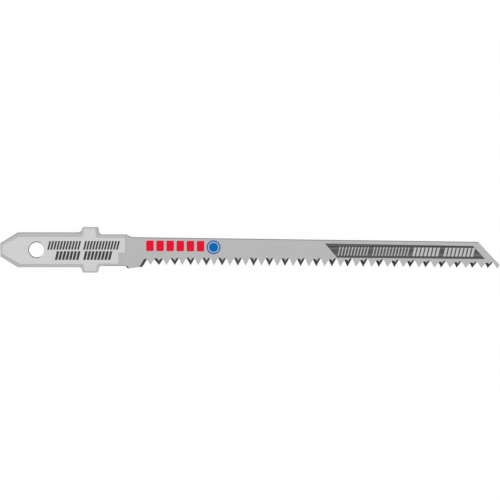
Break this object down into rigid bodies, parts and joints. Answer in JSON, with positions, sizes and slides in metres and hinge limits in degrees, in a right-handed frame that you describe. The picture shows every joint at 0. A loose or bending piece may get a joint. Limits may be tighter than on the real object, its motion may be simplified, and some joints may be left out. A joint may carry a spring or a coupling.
{
  "type": "jigsaw blade",
  "caption": "Flat jigsaw blade: T-shaped tang with a round hole and lugs, tapered ground body, slanted plunge tip and fine teeth bevelled to alternate faces.",
  "frame": {"origin": "on the axis of the tang's hole, in the blade's lower face, on which it lies", "axes": "+X along the blade from the tang to the tip, +Y towards the back edge with the teeth on the -Y side, +Z out of the printed face"},
  "size_m": [0.1, 0.0092, 0.0012],
  "materials": {
    "blade_steel": "ground satin"
  },
  "bodies": {
    "root": {"blade": "blade_steel"}
  },
  "joints": []
}
